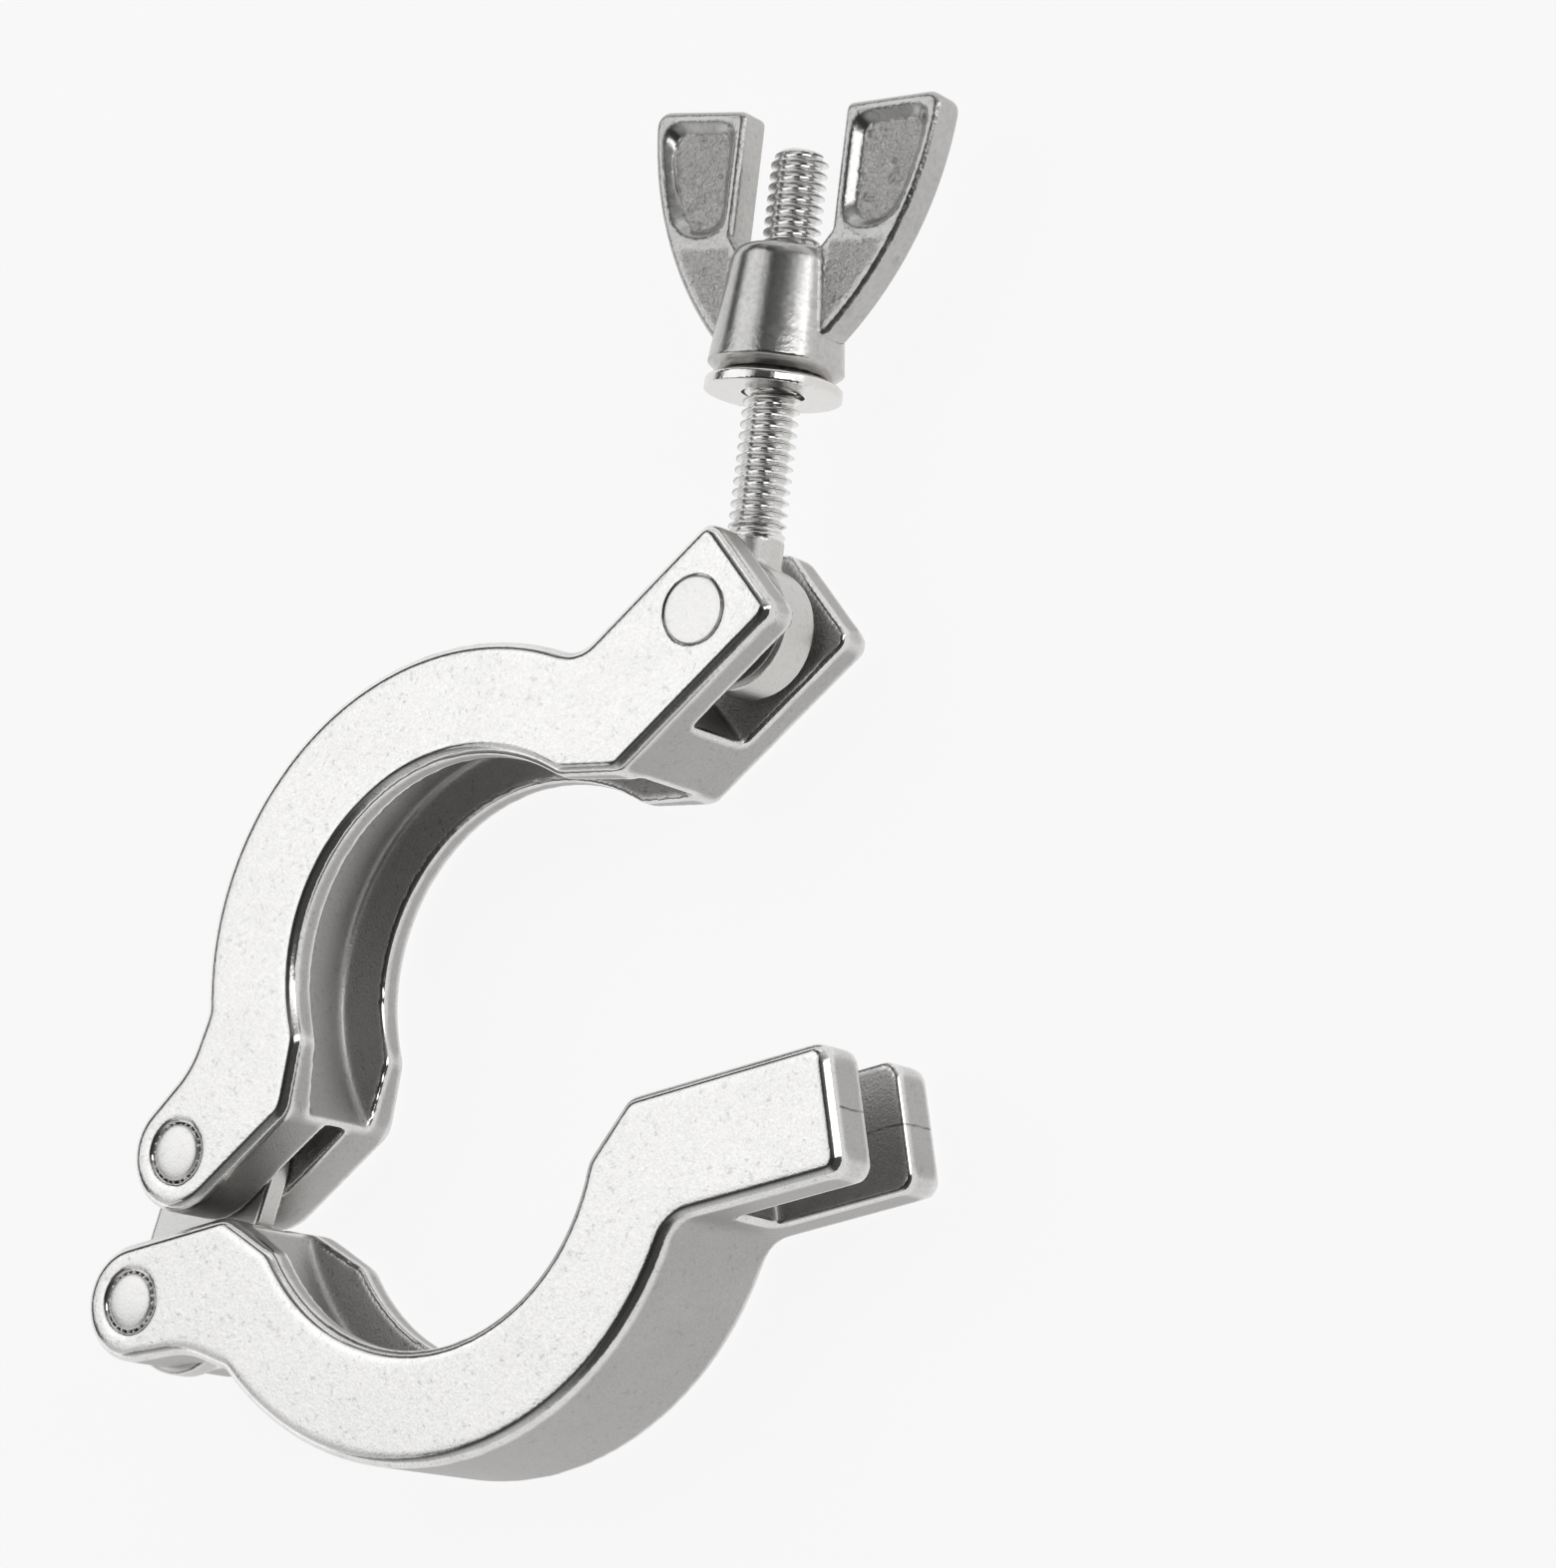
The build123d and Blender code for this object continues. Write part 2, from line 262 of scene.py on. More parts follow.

# %% [markdown]
# ## The steels
# All pieces are stainless steel, so they share one recipe with different values. Flats are
# blasted, and the narrow sides stay as they came from the mould and are rougher; their darker grey
# is painted shade. The inside of slots, grooves and gaps is rougher still, and on the jaws and pins
# its darker grey is painted shade too. Rubbed edges are smoother, and their lighter grey is a
# painted highlight. Three marks on the faces tell the recipe which is which.

# %% Describe a steel
def steel(name, flat, side, hollow, flat_rough, side_rough, edge_rough, speckle_size, depth, uneven):
    """A blasted or polished stainless steel, in greys with a slightly warm cast. Darker side and hollow
    greys are painted shade; the edge lift is a painted highlight.
    """
    material = bpy.data.materials.new(name)
    material.use_nodes = True
    tree = material.node_tree
    shader = tree.nodes["Principled BSDF"]
    place = add(tree, "ShaderNodeTexCoord").outputs["Object"]
    marks = {}
    for mark in ("rubbed_edge_highlight_mark", "cast_side_shade_mark", "hollow_rough_and_shade_mark"):
        marks[mark] = add(tree, "ShaderNodeAttribute", attribute_name=mark).outputs["Fac"]
    grain = add(tree, "ShaderNodeGroup", node_tree=skin)
    feed(tree, grain.inputs[0], place)
    feed(tree, grain.inputs[1], 1 / speckle_size)
    shine = add(tree, "ShaderNodeGroup", node_tree=polish)
    feed(tree, shine.inputs[0], place)
    feed(tree, shine.inputs[1], marks["rubbed_edge_highlight_mark"])
    edge = shine.outputs[0]
    warm = [Vector((grey, grey * green, grey * blue, 1)) for grey, green, blue in
            ((flat, 0.994, 0.980), (side, 0.974, 0.948), (hollow, 0.982, 0.962))]
    # Side faces take a darker grey: painted shade on the as-cast sides.
    colour = blend(tree, marks["cast_side_shade_mark"], warm[0], warm[1])
    # Slot and groove floors take the hollow grey: on the jaws and pins painted shade, on the nut a rougher
    # pocket floor.
    colour = blend(tree, marks["hollow_rough_and_shade_mark"], colour, warm[2])
    # Rubbed edges are lifted toward the flat grey: a painted highlight.
    colour = blend(tree, calc(tree, "MULTIPLY", edge, 0.6), colour, warm[0])
    tone = calc(tree, "MULTIPLY_ADD", grain.outputs[0], uneven, 1 - 0.75 * uneven)
    lowered = calc(tree, "SUBTRACT", tone, uneven * 0.4)
    tone = calc(tree, "MULTIPLY_ADD", grain.outputs[1], uneven * 0.8, lowered)
    tone = calc(tree, "SUBTRACT", tone, calc(tree, "MULTIPLY", grain.outputs[2], uneven * 0.9))
    shade = add(tree, "ShaderNodeVectorMath", operation="SCALE")
    feed(tree, shade.inputs[0], colour)
    feed(tree, shade.inputs["Scale"], tone)
    feed(tree, shader.inputs["Base Color"], shade.outputs[0])
    rough = remap(tree, marks["cast_side_shade_mark"], 0.0, 1.0, flat_rough, side_rough)
    rough = calc(tree, "MULTIPLY_ADD", marks["hollow_rough_and_shade_mark"], 0.12, rough)
    rough = calc(tree, "MULTIPLY_ADD", grain.outputs[1], 0.08, rough)
    keep = calc(tree, "SUBTRACT", 1.0, edge)
    rough = calc(tree, "ADD", calc(tree, "MULTIPLY", rough, keep), calc(tree, "MULTIPLY", edge, edge_rough))
    feed(tree, shader.inputs["Roughness"], rough)
    bump = add(tree, "ShaderNodeBump")
    bump.inputs["Distance"].default_value = depth
    height = calc(tree, "MULTIPLY_ADD", grain.outputs[2], -0.8, grain.outputs[0])
    lift = calc(tree, "MULTIPLY_ADD", marks["hollow_rough_and_shade_mark"], 2.0, 1.0)
    lift = calc(tree, "MULTIPLY", lift, calc(tree, "MULTIPLY_ADD", edge, -0.98, 1.0))
    feed(tree, bump.inputs["Height"], calc(tree, "MULTIPLY", height, lift))
    tree.links.new(bump.outputs[0], shader.inputs["Normal"])
    shader.inputs["Metallic"].default_value = 1.0
    return material


# %% [markdown]
# ## Witness line
# The wax pattern of a casting is made in a split mould, and the split leaves a hair line. On the
# lower jaw it shows half way up the end of the lug and on the walls of its slot.

# %% Build the witness line group
seam, seam_in, seam_out = new_group(
    "witness_line",
    [("Place", "NodeSocketVector", None), ("Level", "NodeSocketFloat", 0.0),
     ("From", "NodeSocketFloat", 0.0), ("Half width", "NodeSocketFloat", 0.0001),
     ("Face height", "NodeSocketFloat", 0.01)],
    [("Line", "NodeSocketFloat")])
seam_spot = add(seam, "ShaderNodeSeparateXYZ")
feed(seam, seam_spot.inputs[0], seam_in.outputs["Place"])
sway = calc(seam, "MULTIPLY_ADD", noise(seam, seam_in.outputs["Place"], 260.0, 2.0), 0.0006, -0.0003)
level = calc(seam, "ADD", seam_in.outputs["Level"], sway)
away = calc(seam, "ABSOLUTE", calc(seam, "SUBTRACT", seam_spot.outputs["Y"], level))
half_width = seam_in.outputs["Half width"]
line = remap(seam, away, half_width, calc(seam, "MULTIPLY", half_width, 0.4))
past_start = calc(seam, "GREATER_THAN", seam_spot.outputs["X"], seam_in.outputs["From"])
line = calc(seam, "MULTIPLY", line, past_start)
off_middle = calc(seam, "ABSOLUTE", seam_spot.outputs["Z"])
below = calc(seam, "LESS_THAN", off_middle, seam_in.outputs["Face height"])
faint = remap(seam, noise(seam, seam_in.outputs["Place"], 420.0, 2.0), 0.35, 0.6, 0.25, 1.0)
feed(seam, seam_out.inputs[0], calc(seam, "MULTIPLY", calc(seam, "MULTIPLY", line, below), faint))
print("group", seam.name)


def draw_seam(material, level, start):
    """Darkens a hair line on a steel, past a given X and under the flat faces."""
    tree = material.node_tree
    shader = tree.nodes["Principled BSDF"]
    wire = shader.inputs["Base Color"].links[0].from_socket
    mark = add(tree, "ShaderNodeGroup", node_tree=seam)
    feed(tree, mark.inputs["Place"], add(tree, "ShaderNodeTexCoord").outputs["Object"])
    for title, value in (("Level", level), ("From", start), ("Half width", 0.16 * MM),
                         ("Face height", FACE_Z - 1.3 * MM)):
        feed(tree, mark.inputs[title], value)
    share = calc(tree, "MULTIPLY", mark.outputs[0], 0.8)
    feed(tree, shader.inputs["Base Color"], blend(tree, share, wire, (0.06, 0.058, 0.055, 1)))


# %% [markdown]
# ## One steel for each finish
# The castings are blasted, the pins turned, the link stamped, the bolt rolled bright with a duller
# eye, and the nut cast coarser than the jaws. Each of them is the same recipe with its own values.

# %% Mix the steels
# The side grey of each steel is painted shade; cast_steel's hollow grey is painted shade in slots and
# grooves.
cast_steel = steel("cast_steel", flat=0.92, side=0.46, hollow=0.52,
                   flat_rough=0.29, side_rough=0.40, edge_rough=0.11,
                   speckle_size=0.26 * MM, depth=0.014 * MM, uneven=0.18)
# The hollow grey of pin_steel is painted shade on the shank inside the staking gap.
pin_steel = steel("pin_steel", flat=0.86, side=0.45, hollow=0.20,
                  flat_rough=0.30, side_rough=0.30, edge_rough=0.14,
                  speckle_size=0.30 * MM, depth=0.008 * MM, uneven=0.10)
link_steel = steel("link_steel", flat=0.72, side=0.62, hollow=0.50,
                   flat_rough=0.34, side_rough=0.34, edge_rough=0.16,
                   speckle_size=0.30 * MM, depth=0.006 * MM, uneven=0.10)
bolt_steel = steel("bolt_steel", flat=0.80, side=0.74, hollow=0.50,
                   flat_rough=0.15, side_rough=0.17, edge_rough=0.10,
                   speckle_size=0.40 * MM, depth=0.002 * MM, uneven=0.06)
eye_steel = steel("eye_steel", flat=0.66, side=0.62, hollow=0.50,
                  flat_rough=0.34, side_rough=0.30, edge_rough=0.14,
                  speckle_size=0.34 * MM, depth=0.006 * MM, uneven=0.10)
nut_steel = steel("nut_steel", flat=0.55, side=0.50, hollow=0.60,
                  flat_rough=0.27, side_rough=0.28, edge_rough=0.22,
                  speckle_size=0.60 * MM, depth=0.050 * MM, uneven=0.14)
tip_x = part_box("lower_jaw")[1].x
lug_end = [v.co.y for v in frame["nodes"]["lower_jaw"].data.vertices if v.co.x > tip_x - 0.5 * MM]
draw_seam(cast_steel, (min(lug_end) + max(lug_end)) / 2, tip_x - 14 * MM)
print("steels", [item.name for item in bpy.data.materials if item.name.endswith("steel")])

# %% [markdown]
# ## Castings have no sharp edges
# The solids have flat broken edges, and a real casting is rounded everywhere, inside corners
# too. Bevels would have to meet at many odd corners where slots and grooves cross. So a copy of
# each solid is rebuilt as an even skin of small squares, and a few rounds of smoothing draw
# every edge into a radius. Flats and large curves stay where they are, because smoothing only
# moves a point whose neighbours aren't level with it.

# %% Join, rebuild and smooth
MARKS = ("rubbed_edge_highlight_mark", "cast_side_shade_mark", "hollow_rough_and_shade_mark")


def joined(node):
    """A node's triangles as one closed work mesh."""
    source = frame["nodes"][node].data
    work = bmesh.new()
    corners = [work.verts.new(vertex.co) for vertex in source.vertices]
    for polygon in source.polygons:
        work.faces.new([corners[index] for index in polygon.vertices])
    bmesh.ops.remove_doubles(work, verts=work.verts, dist=1e-6)
    return work


def to_object(work, name):
    mesh = bpy.data.meshes.new(name)
    work.to_mesh(mesh)
    work.free()
    piece = bpy.data.objects.new(name, mesh)
    bpy.context.scene.collection.objects.link(piece)
    return piece


def rebuild(work, name, square, rounds):
    """An even skin over a closed work mesh, with all its edges drawn round."""
    piece = to_object(work, name)
    skin_maker = piece.modifiers.new("even_skin", "REMESH")
    skin_maker.mode = "VOXEL"
    skin_maker.voxel_size = square
    drawn = piece.modifiers.new("draw_round", "SMOOTH")
    drawn.factor = 0.5
    drawn.iterations = rounds
    return bake(piece)


def bake(piece):
    """Applies a piece's modifiers to its mesh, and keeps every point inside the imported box."""
    graph = bpy.context.evaluated_depsgraph_get()
    mesh = bpy.data.meshes.new_from_object(piece.evaluated_get(graph))
    piece.modifiers.clear()
    points = np.empty(len(mesh.vertices) * 3)
    mesh.vertices.foreach_get("co", points)
    low, high = np.array(cad_box[0]), np.array(cad_box[1])
    mesh.vertices.foreach_set("co", np.clip(points.reshape(-1, 3), low, high).ravel())
    piece.data = mesh
    mesh.name = piece.name
    mesh.shade_smooth()
    return piece


# %% [markdown]
# ## Marks for the finish
# A finish follows the shape. Three marks are worked out for each point of a piece: how strongly
# the surface turns outward (a rubbed edge, with a painted highlight), whether it faces sideways
# (left as cast, with painted shade), and whether it lies in a slot or groove (rougher, and on the
# jaws and pins painted shade). They are stored on the mesh, and move with it.

# %% Work out the marks
def columns(mesh):
    """Points, normals and edges of a mesh as arrays."""
    points = np.empty(len(mesh.vertices) * 3)
    mesh.vertices.foreach_get("co", points)
    normals = np.empty(len(mesh.vertices) * 3)
    mesh.vertices.foreach_get("normal", normals)
    pairs = np.empty(len(mesh.edges) * 2, int)
    mesh.edges.foreach_get("vertices", pairs)
    return points.reshape(-1, 3), normals.reshape(-1, 3), pairs.reshape(-1, 2)


def neighbour_mean(values, pairs):
    total = np.zeros_like(values)
    count = np.zeros(len(values))
    for here, there in ((0, 1), (1, 0)):
        np.add.at(total, pairs[:, here], values[pairs[:, there]])
        np.add.at(count, pairs[:, here], 1)
    count = np.maximum(count, 1)
    return total / (count[:, None] if values.ndim == 2 else count)


def ease(values, low, high):
    share = np.clip((values - low) / (high - low), 0, 1)
    return share * share * (3 - 2 * share)


def outward_turn(points, normals, pairs, square):
    """How far each point stands out from its neighbours, in squares of the skin."""
    stand = ((points - neighbour_mean(points, pairs)) * normals).sum(1) / square
    return neighbour_mean(stand, pairs)


def write_mark(mesh, mark, values):
    layer = mesh.attributes.new(mark, "FLOAT", "POINT")
    layer.data.foreach_set("value", np.asarray(values, np.float32))


def dress(piece, material, body, marks=None, replaces=()):
    """Gives a finished mesh its marks, its steel and its body."""
    for mark in MARKS:
        write_mark(piece.data, mark, (marks or {}).get(mark, np.zeros(len(piece.data.vertices))))
    piece.data.materials.clear()
    piece.data.materials.append(material)
    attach(piece, body)
    if replaces:
        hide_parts(*replaces)
    print(piece.name, "faces", len(piece.data.polygons))


# %% [markdown]
# ## The two jaws
# Each jaw is an investment casting. The big flat faces are blasted bright, the narrow sides are
# as cast and rougher, and the V groove and the slots are rougher still. Sides, groove and slots are
# painted darker as shade, and the rubbed edges lighter as a painted highlight. Three materials
# with hand-picked faces would do it too, but would leave hard borders between them.

# %% Dress the jaws
JAW_SQUARE = 0.36 * MM
JAW_ROUNDS = 9


def jaw_marks(mesh):
    points, normals, pairs = columns(mesh)
    upright = np.abs(normals[:, 2])
    deep = ease(FACE_Z - np.abs(points[:, 2]), 1.4 * MM, 2.2 * MM)
    rubbed_and_highlit = ease(outward_turn(points, normals, pairs, JAW_SQUARE), 0.008, 0.04)
    # Rubbed edges: smoother polish, and a painted highlight in colour.
    return {"rubbed_edge_highlight_mark": rubbed_and_highlit * (1 - ease(upright, 0.975, 0.998)),
            # Sides facing away from the flats: rougher as cast, and painted darker as shade.
            "cast_side_shade_mark": 1 - ease(upright, 0.45, 0.9),
            # Slot and groove floors: rougher, and painted darker as shade.
            "hollow_rough_and_shade_mark": ease(upright, 0.75, 0.92) * deep}


for node, body in (("lower_jaw", "lower"), ("upper_jaw", "upper")):
    casting = rebuild(joined(node), node + "_casting", JAW_SQUARE, JAW_ROUNDS)
    dress(casting, cast_steel, body, jaw_marks(casting.data), (node,))

# %% [markdown]
# ## Link
# The link is a stamped plate, and tumbling has rounded its edges. A bevel would do on so plain a
# shape, but the even skin gives it the same soft edges and the same marks as the castings.

# %% Dress the link
LINK_SQUARE = 0.22 * MM
LINK_ROUNDS = 4


def plain_marks(mesh, square):
    points, normals, pairs = columns(mesh)
    # Rubbed edges: smoother polish, and a painted highlight in colour.
    return {"rubbed_edge_highlight_mark": ease(outward_turn(points, normals, pairs, square), 0.02, 0.08),
            # Sides facing away from the flats: painted darker as shade.
            "cast_side_shade_mark": 1 - ease(np.abs(normals[:, 2]), 0.45, 0.9)}


plate = rebuild(joined("hinge_link"), "hinge_link_plate", LINK_SQUARE, LINK_ROUNDS)
dress(plate, link_steel, "link", plain_marks(plate.data, LINK_SQUARE), ("hinge_link",))

# %% [markdown]
# ## Turned pins
# A hinge pin is pressed in and its ends are staked: a punch with teeth pushes the rim outward, so
# the head is a low dome with a ring of small beads and a gap around it. Inside the gap the pin is
# painted dark as shade. The bolt's pin is plain. The dome is a turned outline, revolved point by
# point. Under its head each pin spreads a little, to fill the rim that was drawn round on the
# casting, and so leaves no bare slit there.

# %% Turn the pins
AROUND = 64
HEAD_SPREAD = 0.28 * MM
DOME_STEPS = 5


def turned(work, centre, outline):
    """Revolves an outline of radius and height around a vertical line. Radius 0 makes a pole."""
    rings = []
    for radius, height in outline:
        if radius == 0:
            rings.append([work.verts.new(centre + Vector((0, 0, height)))])
            continue
        ring = []
        for step in range(AROUND):
            angle = 2 * math.pi * step / AROUND
            spot = Vector((radius * math.cos(angle), radius * math.sin(angle), height))
            ring.append(work.verts.new(centre + spot))
        rings.append(ring)
    for lower, upper in zip(rings, rings[1:]):
        for step in range(AROUND):
            after = (step + 1) % AROUND
            if len(lower) == 1:
                work.faces.new((lower[0], upper[after], upper[step]))
            elif len(upper) == 1:
                work.faces.new((lower[step], lower[after], upper[0]))
            else:
                work.faces.new((lower[step], lower[after], upper[after], upper[step]))


def domed(radius, rim, dome, gap_depth):
    """Half of a pin's outline, from the middle up to the pole of its head."""
    half = FACE_Z
    points = [(radius, half - gap_depth - 0.4 * MM), (radius + HEAD_SPREAD, half - gap_depth),
              (rim, half - gap_depth), (rim, half - dome)]
    for step in range(1, DOME_STEPS):
        angle = math.pi / 2 * step / DOME_STEPS
        points.append((rim * math.cos(angle) ** 0.8, half - dome * (1 - math.sin(angle))))
    points.append((0, half))
    return points


def full_pin(radius, rim, dome, gap_depth):
    top = domed(radius, rim, dome, gap_depth)
    return [(r, -z) for r, z in reversed(top)] + top


def pin_piece(name, node, body, centre, outline):
    work = bmesh.new()
    turned(work, centre, outline)
    bmesh.ops.recalc_face_normals(work, faces=work.faces)
    pin = to_object(work, name)
    pin.modifiers.new("even", "WEIGHTED_NORMAL")
    bake(pin)
    points = columns(pin.data)[0]
    # The shank in the gap under each head is marked hollow and painted dark as shade.
    shade_in_gap = (FACE_Z - np.abs(points[:, 2])) > 0.5 * MM
    dress(pin, pin_steel, body, {"hollow_rough_and_shade_mark": shade_in_gap.astype(float)}, (node,))


hinge_outline = full_pin(HINGE_PIN_R, rim=HINGE_PIN_R - 0.16 * MM, dome=0.30 * MM, gap_depth=0.60 * MM)
bolt_outline = full_pin(BOLT_PIN_R, rim=BOLT_PIN_R + 0.20 * MM, dome=0.09 * MM, gap_depth=0.40 * MM)
pin_piece("lower_hinge_rivet", "lower_hinge_pin", "lower", LOWER_PIN, hinge_outline)
pin_piece("upper_hinge_rivet", "upper_hinge_pin", "upper", UPPER_PIN, hinge_outline)
pin_piece("bolt_rivet", "bolt_pin", "upper", BOLT_PIN, bolt_outline)

# %% [markdown]
# ## Staking beads
# The beads repeat around a circle, so Geometry Nodes make them: a circle of points, a small ball
# on each, and the result made real. The count and sizes are inputs of the tree.

# %% Build the bead ring tree
def geometry_tree(name, inputs):
    tree = bpy.data.node_groups.new(name, "GeometryNodeTree")
    sockets = {}
    for title, kind, value in inputs:
        socket = tree.interface.new_socket(name=title, in_out="INPUT", socket_type=kind)
        if value is not None:
            socket.default_value = value
        sockets[title] = socket.identifier
    tree.interface.new_socket(name="Geometry", in_out="OUTPUT", socket_type="NodeSocketGeometry")
    return tree, add(tree, "NodeGroupInput"), add(tree, "NodeGroupOutput"), sockets


def grown(name, tree, sockets, values):
    """Runs a geometry tree once and gives back the plain mesh."""
    holder = bpy.data.objects.new(name + "_maker", bpy.data.meshes.new(name + "_maker"))
    bpy.context.scene.collection.objects.link(holder)
    modifier = holder.modifiers.new("make", "NODES")
    modifier.node_group = tree
    for title, value in values.items():
        modifier[sockets[title]] = value
    graph = bpy.context.evaluated_depsgraph_get()
    mesh = bpy.data.meshes.new_from_object(holder.evaluated_get(graph))
    bpy.data.objects.remove(holder)
    mesh.name = name
    return mesh


beads, beads_in, beads_out, bead_sockets = geometry_tree(
    "staking_beads",
    [("Count", "NodeSocketInt", 24), ("Ring radius", "NodeSocketFloat", 0.003),
     ("Bead radius", "NodeSocketFloat", 0.0003), ("Unevenness", "NodeSocketFloat", 0.00015),
     ("Seed", "NodeSocketInt", 3), ("Material", "NodeSocketMaterial", None)])
ring = add(beads, "GeometryNodeMeshCircle", fill_type="NONE")
feed(beads, ring.inputs["Vertices"], beads_in.outputs["Count"])
feed(beads, ring.inputs["Radius"], beads_in.outputs["Ring radius"])
ball = add(beads, "GeometryNodeMeshIcoSphere")
feed(beads, ball.inputs["Radius"], beads_in.outputs["Bead radius"])
feed(beads, ball.inputs["Subdivisions"], 2)
place_balls = add(beads, "GeometryNodeInstanceOnPoints")
strayed = add(beads, "GeometryNodeSetPosition")
feed(beads, strayed.inputs["Geometry"], ring.outputs["Mesh"])
stray = add(beads, "FunctionNodeRandomValue", data_type="FLOAT_VECTOR")
feed(beads, stray.inputs["Min"], (-1.0, -1.0, -0.4))
feed(beads, stray.inputs["Max"], (1.0, 1.0, 0.4))
feed(beads, stray.inputs["Seed"], beads_in.outputs["Seed"])
how_far = add(beads, "ShaderNodeVectorMath", operation="SCALE")
feed(beads, how_far.inputs[0], stray.outputs["Value"])
feed(beads, how_far.inputs["Scale"], beads_in.outputs["Unevenness"])
feed(beads, strayed.inputs["Offset"], how_far.outputs[0])
feed(beads, place_balls.inputs["Points"], strayed.outputs[0])
swell = add(beads, "FunctionNodeRandomValue", data_type="FLOAT")
feed(beads, swell.inputs[2], 0.55)
feed(beads, swell.inputs[3], 1.25)
feed(beads, swell.inputs["Seed"], calc(beads, "ADD", beads_in.outputs["Seed"], 11.0))
feed(beads, place_balls.inputs["Scale"], swell.outputs[1])
feed(beads, place_balls.inputs["Instance"], ball.outputs["Mesh"])
make_real = add(beads, "GeometryNodeRealizeInstances")
feed(beads, make_real.inputs[0], place_balls.outputs[0])
soften = add(beads, "GeometryNodeSetShadeSmooth")
feed(beads, soften.inputs[0], make_real.outputs[0])
coat = add(beads, "GeometryNodeSetMaterial")
feed(beads, coat.inputs["Geometry"], soften.outputs[0])
feed(beads, coat.inputs["Material"], beads_in.outputs["Material"])
feed(beads, beads_out.inputs[0], coat.outputs[0])

# %% Stake both hinge pins
BEAD_COUNT = 24
BEAD_R = 0.26 * MM
BEAD_INSET = 0.08 * MM
BEAD_STRAY = 0.10 * MM
BEAD_SINK = 1.9


def bead_rings(name, centre, body, seed):
    mesh = grown(name, beads, bead_sockets, {
        "Count": BEAD_COUNT, "Ring radius": HINGE_PIN_R - BEAD_INSET, "Bead radius": BEAD_R,
        "Unevenness": BEAD_STRAY, "Seed": seed, "Material": pin_steel})
    work = bmesh.new()
    for end in (-1, 1):
        before = len(work.verts)
        work.from_mesh(mesh)
        work.verts.ensure_lookup_table()
        lift = centre + Vector((0, 0, end * (FACE_Z - BEAD_SINK * BEAD_R)))
        bmesh.ops.translate(work, verts=work.verts[before:], vec=lift)
    both = bpy.data.meshes.new(name)
    work.to_mesh(both)
    work.free()
    both.materials.append(pin_steel)
    both.shade_smooth()
    piece = bpy.data.objects.new(name, both)
    bpy.context.scene.collection.objects.link(piece)
    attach(piece, body)
    print(name, "faces", len(both.polygons))


bead_rings("lower_pin_staking", LOWER_PIN, "lower", 3)
bead_rings("upper_pin_staking", UPPER_PIN, "upper", 8)

# %% [markdown]
# ## The thread
# A rolled thread follows a rule, so Geometry Nodes make it too. A grid is wrapped around the
# bolt. Each turn of the grid climbs by one pitch, so its rows lie along the thread and its crests
# stay clean. The radius depends on the row alone: flat crest, sloping flank, flat root. The
# depth fades out at the eye, and the tip is chamfered.

# %% Build the thread tree
ROWS_PER_TURN = 16
thread, thread_in, thread_out, thread_sockets = geometry_tree(
    "rolled_thread",
    [("Outside radius", "NodeSocketFloat", 0.003), ("Depth", "NodeSocketFloat", 0.0008),
     ("Pitch", "NodeSocketFloat", 0.00127), ("Length", "NodeSocketFloat", 0.04),
     ("Run-out", "NodeSocketFloat", 0.002), ("Tip chamfer", "NodeSocketFloat", 0.0007),
     ("Columns", "NodeSocketInt", 48), ("Rows", "NodeSocketInt", 100),
     ("Material", "NodeSocketMaterial", None)])
sheet = add(thread, "GeometryNodeMeshGrid")
feed(thread, sheet.inputs["Size X"], 1.0)
feed(thread, sheet.inputs["Size Y"], 1.0)
feed(thread, sheet.inputs["Vertices X"], thread_in.outputs["Columns"])
feed(thread, sheet.inputs["Vertices Y"], thread_in.outputs["Rows"])
spot = add(thread, "ShaderNodeSeparateXYZ")
feed(thread, spot.inputs[0], add(thread, "GeometryNodeInputPosition").outputs[0])
turn = calc(thread, "ADD", spot.outputs["X"], 0.5)
row = calc(thread, "MULTIPLY", calc(thread, "ADD", spot.outputs["Y"], 0.5),
           calc(thread, "SUBTRACT", thread_in.outputs["Rows"], 1.0))
row = calc(thread, "ROUND", row)
turns_up = calc(thread, "DIVIDE", row, float(ROWS_PER_TURN))
climb = calc(thread, "SUBTRACT", calc(thread, "ADD", turns_up, turn), 2.0)
free_height = calc(thread, "MULTIPLY", climb, thread_in.outputs["Pitch"])
height = calc(thread, "MINIMUM", calc(thread, "MAXIMUM", free_height, 0.0), thread_in.outputs["Length"])
phase = calc(thread, "ABSOLUTE", calc(thread, "SUBTRACT", calc(thread, "FRACT", turns_up), 0.5))
CREST = 1 / 16
ROOT = 1 / 8
cut = remap(thread, phase, CREST, 0.5 - ROOT)
fade = remap(thread, height, 0.0, thread_in.outputs["Run-out"])
cut = calc(thread, "MULTIPLY", calc(thread, "MULTIPLY", cut, fade), thread_in.outputs["Depth"])
radius = calc(thread, "SUBTRACT", thread_in.outputs["Outside radius"], cut)
left = calc(thread, "SUBTRACT", thread_in.outputs["Length"], height)
tip_radius = calc(thread, "SUBTRACT", thread_in.outputs["Outside radius"], thread_in.outputs["Tip chamfer"])
radius = calc(thread, "MINIMUM", radius, calc(thread, "ADD", tip_radius, left))
inside = calc(thread, "LESS_THAN", row, 0.5)
outside = calc(thread, "GREATER_THAN", row, calc(thread, "SUBTRACT", thread_in.outputs["Rows"], 1.5))
open_share = calc(thread, "SUBTRACT", 1.0, calc(thread, "ADD", inside, outside))
radius = calc(thread, "MULTIPLY", radius, open_share)
angle = calc(thread, "MULTIPLY", turn, 2 * math.pi)
wrapped = add(thread, "ShaderNodeCombineXYZ")
